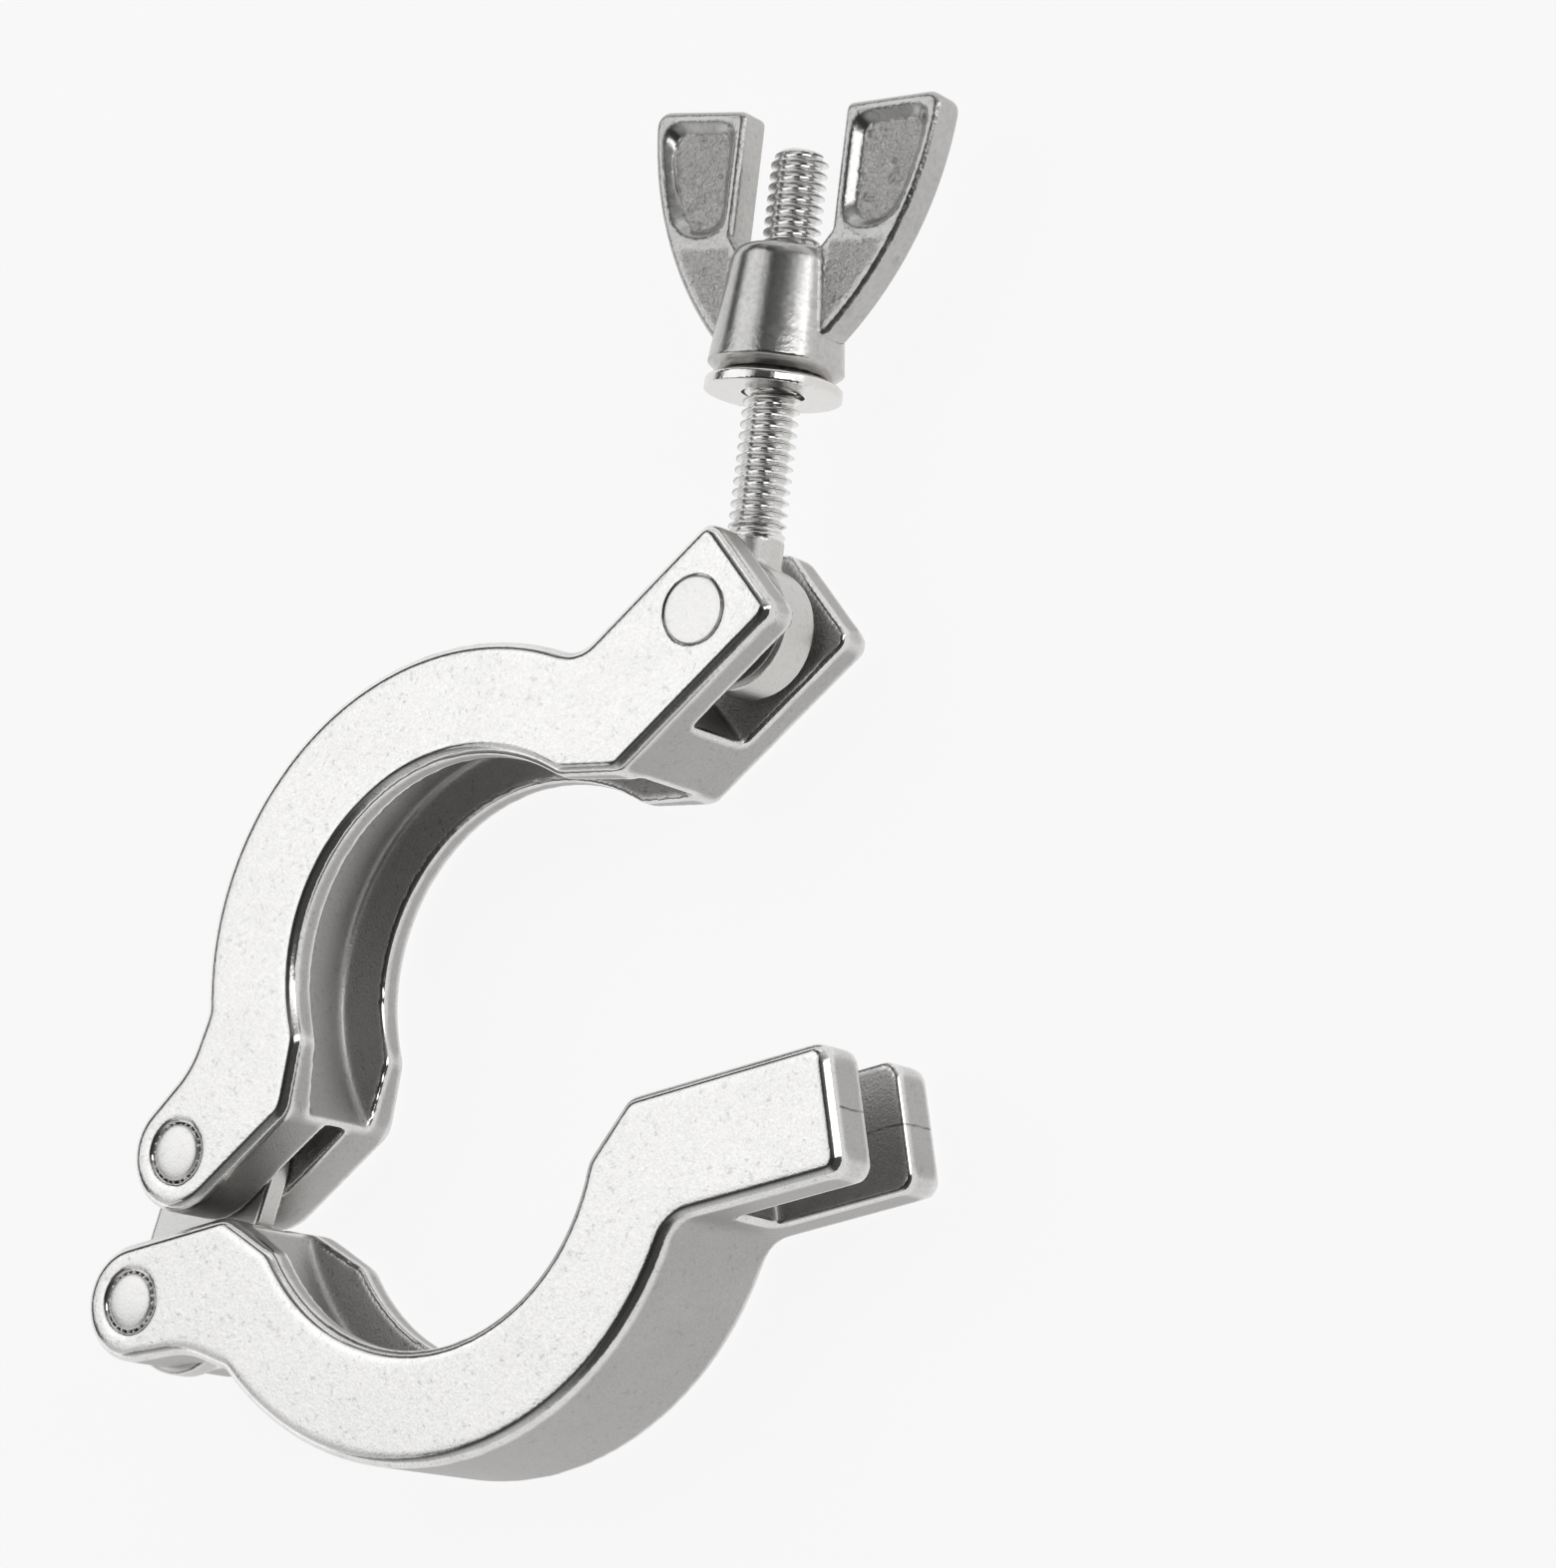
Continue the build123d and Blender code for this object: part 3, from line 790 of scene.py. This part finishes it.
feed(thread, wrapped.inputs[0], calc(thread, "MULTIPLY", radius, calc(thread, "COSINE", angle)))
feed(thread, wrapped.inputs[1], calc(thread, "MULTIPLY", radius, calc(thread, "SINE", angle)))
feed(thread, wrapped.inputs[2], height)
wrap = add(thread, "GeometryNodeSetPosition")
feed(thread, wrap.inputs["Geometry"], sheet.outputs["Mesh"])
feed(thread, wrap.inputs["Position"], wrapped.outputs[0])
weld = add(thread, "GeometryNodeMergeByDistance")
feed(thread, weld.inputs["Geometry"], wrap.outputs[0])
feed(thread, weld.inputs["Distance"], 1e-6)
real_thread = add(thread, "GeometryNodeRealizeInstances")
feed(thread, real_thread.inputs[0], weld.outputs[0])
thread_coat = add(thread, "GeometryNodeSetMaterial")
feed(thread, thread_coat.inputs["Geometry"], real_thread.outputs[0])
feed(thread, thread_coat.inputs["Material"], thread_in.outputs["Material"])
feed(thread, thread_out.inputs[0], thread_coat.outputs[0])

# %% [markdown]
# ## The swing bolt
# The eye and its short neck come from the solid, cut off where the thread begins. The thread is
# set on the cut, turned to the bolt's direction, and both move with the bolt.

# %% Make eye and thread
THREAD_START = 9.4 * MM
DEPTH_IN_PITCHES = 0.6134
THREAD_DEPTH = DEPTH_IN_PITCHES * PITCH
RUN_OUT = 2.2 * PITCH
THREAD_COLUMNS = 49
TIP_CHAMFER = THREAD_DEPTH + 0.08 * MM


def along_bolt(height):
    """A frame on the bolt's axis, its Z along the bolt."""
    side = Vector((0, 0, 1))
    other = BOLT_AXIS.cross(side)
    turn_to = Matrix((side, other, BOLT_AXIS)).transposed().to_4x4()
    return Matrix.Translation(BOLT_PIN + BOLT_AXIS * height) @ turn_to


EYE_SQUARE = 0.18 * MM
EYE_ROUNDS = 4
EYE_OVERLAP = 0.5 * MM
work = joined("swing_bolt")
cut_at = BOLT_PIN + BOLT_AXIS * (THREAD_START + EYE_OVERLAP)
bmesh.ops.bisect_plane(work, geom=work.verts[:] + work.edges[:] + work.faces[:], plane_co=cut_at,
                       plane_no=BOLT_AXIS, clear_outer=True)
bmesh.ops.holes_fill(work, edges=[edge for edge in work.edges if edge.is_boundary], sides=0)
eye = rebuild(work, "swing_bolt_eye", EYE_SQUARE, EYE_ROUNDS)
dress(eye, eye_steel, "bolt", plain_marks(eye.data, EYE_SQUARE), ("swing_bolt",))
thread_length = BOLT_LENGTH - THREAD_START
thread_rows = ROWS_PER_TURN * (math.ceil(thread_length / PITCH) + 3) + 1
thread_mesh = grown("bolt_thread", thread, thread_sockets, {
    "Outside radius": THREAD_R, "Depth": THREAD_DEPTH, "Pitch": PITCH, "Length": thread_length,
    "Run-out": RUN_OUT, "Tip chamfer": TIP_CHAMFER, "Columns": THREAD_COLUMNS, "Rows": thread_rows,
    "Material": bolt_steel})
work = bmesh.new()
work.from_mesh(thread_mesh)
bmesh.ops.transform(work, matrix=along_bolt(THREAD_START), verts=work.verts)
bmesh.ops.recalc_face_normals(work, faces=work.faces)
print("open edges on the thread", sum(edge.is_boundary for edge in work.edges))
rolled = to_object(work, "swing_bolt_thread")
rolled.modifiers.new("even", "WEIGHTED_NORMAL")
bake(rolled)
dress(rolled, bolt_steel, "bolt", None, ("swing_bolt",))

# %% [markdown]
# ## Washer
# The washer is punched from sheet and then tumbled. A punch leaves one rim rounder than the
# other. Here both are rounded alike, because at this size the difference can't be seen.

# %% Dress the washer
WASHER_SQUARE = 0.14 * MM
WASHER_ROUNDS = 3
ring_piece = rebuild(joined("washer"), "punched_washer", WASHER_SQUARE, WASHER_ROUNDS)
washer_marks = plain_marks(ring_piece.data, WASHER_SQUARE)
dress(ring_piece, bolt_steel, "washer", washer_marks, ("washer",))

# %% [markdown]
# ## Wing nut
# The nut is a casting. Each wing has a deep pocket with a rounded lower end, and below it a
# shallow web, both inside a thin raised rim. A relief like this is a height over a flat face, so
# it is pressed into the even skin point by point. How far a point lies inside the wing's outline
# is read from the side walls with a tree of nearest points. The boss of the real nut is one full
# cone from foot to top, wider than the plain solid's. A conical sleeve is laid round it first,
# and the even skin melts both into one. The foot is then drawn in onto the same cone.

# %% Press the relief into the wings
NUT_SQUARE = 0.22 * MM
NUT_ROUNDS = 4
PAST_BOSS = 10 * MM
RIM_WIDTH = 1.3 * MM
WALL_WIDTH = 1.5 * MM
POCKET_DEPTH = 1.2 * MM
WEB_DEPTH = 0.14 * MM
CORNER_PASSES = 40
CORNER_BLEND = 3.0 * MM
FOOT_TOP = 4.2 * MM
SLEEVE = ((4.4, 1.5), (7.5, 1.5), (6.3, 12.9), (6.0, 13.7), (5.4, 14.2), (4.4, 14.3), (4.4, 1.5))
WEB_FROM = 6.4 * MM
POCKET_FOOT = 16.0 * MM


def nut_places(points):
    """Distance from the bolt's axis in the wings' plane, and height above the nut's foot."""
    axis = np.array(BOLT_AXIS)
    reach = points - np.array(BOLT_PIN)
    height = reach @ axis
    outward = np.cross(axis, (0, 0, 1.0))
    return np.abs(reach @ outward), height - height.min()


def nearest(out, height, chosen):
    """Distance of each point to the nearest chosen one, seen square to the wings."""
    tree = KDTree(int(chosen.sum()))
    for index, spot in enumerate(zip(out[chosen], height[chosen])):
        tree.insert((*spot, 0), index)
    tree.balance()
    return np.array([tree.find((*spot, 0))[2] for spot in zip(out, height)])


def rounded_least(first, second, width):
    """The smaller of two distances, with a round corner where they meet."""
    share = np.clip(0.5 + 0.5 * (second - first) / width, 0, 1)
    return second * (1 - share) + first * share - width * share * (1 - share)


def draw_foot_in(mesh):
    """Pulls the foot of the nut onto the cone of its boss, so that no step is left."""
    points = columns(mesh)[0]
    out, height = nut_places(points)
    off_axis = np.hypot(out, points[:, 2])
    (low_r, low_h), (top_r, top_h) = np.array(SLEEVE[1:3]) * MM
    cone = low_r + (height - low_h) * (top_r - low_r) / (top_h - low_h)
    pull = np.where((height < FOOT_TOP) & (off_axis > cone), cone / np.maximum(off_axis, MM), 1.0)
    axis = np.array(BOLT_AXIS)
    reach = points - np.array(BOLT_PIN)
    along = (reach @ axis)[:, None] * axis
    mesh.vertices.foreach_set("co", (np.array(BOLT_PIN) + along + (reach - along) * pull[:, None]).ravel())
    mesh.update()


def wing_relief(mesh):
    """Returns two shares of each point, pocket wall and pressed floor, after pressing them in."""
    points, normals, pairs = columns(mesh)
    out, height = nut_places(points)
    wing_half = np.abs(points[out > PAST_BOSS, 2]).max()
    walls = (np.abs(normals[:, 2]) < 0.3) & (np.abs(points[:, 2]) < wing_half * 0.5) & (out > WEB_FROM)
    inset = nearest(out, height, walls)
    rounded = inset
    for _ in range(CORNER_PASSES):
        rounded = neighbour_mean(rounded, pairs)
    on_wing = (out > WEB_FROM) & (np.abs(points[:, 2]) <= wing_half * 1.02)
    within = rounded_least(rounded - RIM_WIDTH, height - POCKET_FOOT, CORNER_BLEND) + 0.3 * MM
    pocket = ease(within, 0, WALL_WIDTH)
    web = ease(inset, RIM_WIDTH * 0.7, RIM_WIDTH * 1.3) * ease(-within, 0.8 * MM, 1.6 * MM)
    web *= ease(POCKET_FOOT - height, -2 * MM, 0)
    web *= ease(out, WEB_FROM, WEB_FROM + 0.5 * MM)
    pressed = wing_half - pocket * POCKET_DEPTH - web * WEB_DEPTH
    share = ease(inset, 0.45 * MM, 0.8 * MM) * on_wing * ease(height, 4.5 * MM, 5.5 * MM)
    side = np.sign(points[:, 2])
    points[:, 2] += share * (side * pressed - points[:, 2])
    for _ in range(2):
        points += (share * 0.5)[:, None] * (neighbour_mean(points, pairs) - points)
    mesh.vertices.foreach_set("co", points.ravel())
    mesh.update()
    return share * 4 * pocket * (1 - pocket), share * np.maximum(ease(pocket, 0.8, 1.0), web)


# %% Dress the wing nut
def nut_marks(mesh, wall, pressed):
    points, normals, pairs = columns(mesh)
    out, height = nut_places(points)
    turned_out = ease(outward_turn(points, normals, pairs, NUT_SQUARE), 0.02, 0.08)
    off_axis = np.hypot(out, points[:, 2])
    boss = (1 - ease(off_axis, 7.2 * MM, 7.6 * MM)) * ease(np.abs(points[:, 2]), 2.3 * MM, 2.8 * MM)
    foot_ring = 1 - ease(height, 4.0 * MM, 5.0 * MM)
    # Edges, pocket walls, boss and foot ring: smoother polish, and a painted highlight in colour.
    polished = np.maximum(np.maximum(turned_out, wall), np.maximum(boss, 0.8 * foot_ring))
    # Side faces: as cast, and painted darker as shade.
    return {"rubbed_edge_highlight_mark": polished, "cast_side_shade_mark": 1 - ease(np.abs(normals[:, 2]), 0.45, 0.9),
            "hollow_rough_and_shade_mark": pressed}


def sleeve(work):
    """A conical ring round the boss. The even skin melts it into the solid."""
    foot = min((vert.co - BOLT_PIN).dot(BOLT_AXIS) for vert in work.verts)
    ring_work = bmesh.new()
    turned(ring_work, Vector(), [(radius * MM, height * MM) for radius, height in SLEEVE])
    bmesh.ops.remove_doubles(ring_work, verts=ring_work.verts, dist=1e-6)
    bmesh.ops.recalc_face_normals(ring_work, faces=ring_work.faces)
    bmesh.ops.transform(ring_work, matrix=along_bolt(foot), verts=ring_work.verts)
    print("sleeve open edges", sum(edge.is_boundary for edge in ring_work.edges))
    held = bpy.data.meshes.new("boss_sleeve")
    ring_work.to_mesh(held)
    ring_work.free()
    work.from_mesh(held)
    return work


nut = rebuild(sleeve(joined("wing_nut")), "cast_wing_nut", NUT_SQUARE, NUT_ROUNDS)
draw_foot_in(nut.data)
wall, pressed = wing_relief(nut.data)
dress(nut, nut_steel, "nut", nut_marks(nut.data, wall, pressed), ("wing_nut",))

# %% [markdown]
# ## Floor
# A pale floor lies just under the clamp and sweeps up into a low cove far away. Stronger lamps
# would whiten it too, but would bleach the steel. So rays from the camera, and rays that mirror
# it, see a paper that glows nearly white. A small share of its true shading keeps a faint shadow.

# %% Lay the floor
FLOOR_R = 2.4
COVE_R = 0.6
COVE_STEPS = 6
FLOOR_GAP = 0.0001
PAPER_GREY = 0.88
GLOW_SHARE = 0.90
cove = [(0, 0), (FLOOR_R, 0)]
for step in range(1, COVE_STEPS + 1):
    lean = math.pi / 2 * step / COVE_STEPS
    cove.append((FLOOR_R + COVE_R * math.sin(lean), COVE_R * (1 - math.cos(lean))))
work = bmesh.new()
turned(work, Vector((0, 0, FLOOR_Z - FLOOR_GAP)), cove)
bmesh.ops.reverse_faces(work, faces=work.faces)
floor_mesh = bpy.data.meshes.new("studio_floor")
work.to_mesh(floor_mesh)
work.free()
floor_mesh.shade_smooth()
print("floor faces up", floor_mesh.polygons[0].normal.z > 0)
floor = bpy.data.objects.new("studio_floor", floor_mesh)
bpy.context.scene.collection.objects.link(floor)
paper = bpy.data.materials.new("studio_paper")
paper.use_nodes = True
tree = paper.node_tree
matt = tree.nodes["Principled BSDF"]
matt.inputs["Base Color"].default_value = (PAPER_GREY, PAPER_GREY, PAPER_GREY, 1)
matt.inputs["Roughness"].default_value = 0.9
glow = add(tree, "ShaderNodeEmission")
glow.inputs["Strength"].default_value = 1.0
ray = add(tree, "ShaderNodeLightPath")
seen = calc(tree, "MAXIMUM", ray.outputs["Is Camera Ray"], ray.outputs["Is Glossy Ray"])
seen = calc(tree, "MAXIMUM", seen, ray.outputs["Is Transmission Ray"])
choose = add(tree, "ShaderNodeMixShader")
feed(tree, choose.inputs[0], calc(tree, "MULTIPLY", seen, GLOW_SHARE))
feed(tree, choose.inputs[1], matt.outputs[0])
feed(tree, choose.inputs[2], glow.outputs[0])
tree.links.new(choose.outputs[0], tree.nodes["Material Output"].inputs["Surface"])
floor_mesh.materials.append(paper)

# %% [markdown]
# ## Light
# Steel shows its surroundings. One big soft panel stands where the flat faces mirror it. A dark
# ring around the panel turns every rounded edge from bright to a dark line, as the black frame of
# a light tent does, and a dark flag at the lower right widens that line. The rest of the surround
# is pale, so the steel keeps its colour from other sides. A narrow strip on the right draws a
# bright line inside the dark one. All of them are plain in strength.

# %% Light the studio
FLAT_MIRROR = Vector((-back.x, -back.y, back.z))
FLAG_WAY = Vector((0.65, -0.45, 0.60)).normalized()
FLAG_FROM = 0.47
FLAG_FULL = 0.77
FLAG_LEFT = 0.1
SURROUND = ((0.0, 0.70), (0.41, 0.70), (0.63, 0.55), (0.735, 0.40), (0.82, 0.20), (0.875, 0.05),
            (0.935, 0.04), (0.965, 0.45), (1.0, 0.50))
world = bpy.data.worlds.new("studio_surround")
world.use_nodes = True
bpy.context.scene.world = world
tree = world.node_tree
nearness = add(tree, "ShaderNodeVectorMath", operation="DOT_PRODUCT")
feed(tree, nearness.inputs[0], add(tree, "ShaderNodeTexCoord").outputs["Generated"])
nearness.inputs[1].default_value = FLAT_MIRROR
ramp = add(tree, "ShaderNodeValToRGB")
feed(tree, ramp.inputs[0], calc(tree, "MULTIPLY_ADD", nearness.outputs["Value"], 0.5, 0.5))
ramp.color_ramp.elements[0].position = SURROUND[0][0]
ramp.color_ramp.elements[0].color = (SURROUND[0][1],) * 3 + (1,)
ramp.color_ramp.elements[1].position = SURROUND[-1][0]
ramp.color_ramp.elements[1].color = (SURROUND[-1][1],) * 3 + (1,)
for position, grey in SURROUND[1:-1]:
    stop = ramp.color_ramp.elements.new(position)
    stop.color = (grey, grey, grey, 1)
feed(tree, tree.nodes["Background"].inputs["Color"], ramp.outputs[0])
flagged = add(tree, "ShaderNodeVectorMath", operation="DOT_PRODUCT")
feed(tree, flagged.inputs[0], nearness.inputs[0].links[0].from_socket)
flagged.inputs[1].default_value = FLAG_WAY
shaded = remap(tree, flagged.outputs["Value"], FLAG_FROM, FLAG_FULL, 1.0, FLAG_LEFT)
feed(tree, tree.nodes["Background"].inputs["Strength"], shaded)


def panel(name, towards, distance, size, level):
    """A soft rectangular lamp whose face shines at a level, where 1 is white."""
    lamp = bpy.data.lights.new(name, "AREA")
    lamp.shape = "RECTANGLE"
    lamp.size, lamp.size_y = size
    lamp.energy = level * math.pi * size[0] * size[1]
    holder = bpy.data.objects.new(name, lamp)
    way = Vector(towards).normalized()
    holder.location = VIEW_TARGET + way * distance
    holder.rotation_euler = way.to_track_quat("Z", "Y").to_euler()
    bpy.context.scene.collection.objects.link(holder)


panel("main_panel", FLAT_MIRROR + Vector((0.07, 0.05, 0.02)), 0.7, (0.68, 0.68), 0.73)
panel("right_strip", (0.84, 0.14, 0.48), 0.6, (0.15, 0.50), 2.6)
panel("left_fill", (-0.9, -0.25, 0.45), 0.7, (0.3, 0.5), 0.5)
panel("far_fill", (0.15, 1.0, 0.45), 0.8, (0.6, 0.2), 0.6)
print("lamps", [item.name for item in bpy.data.lights])
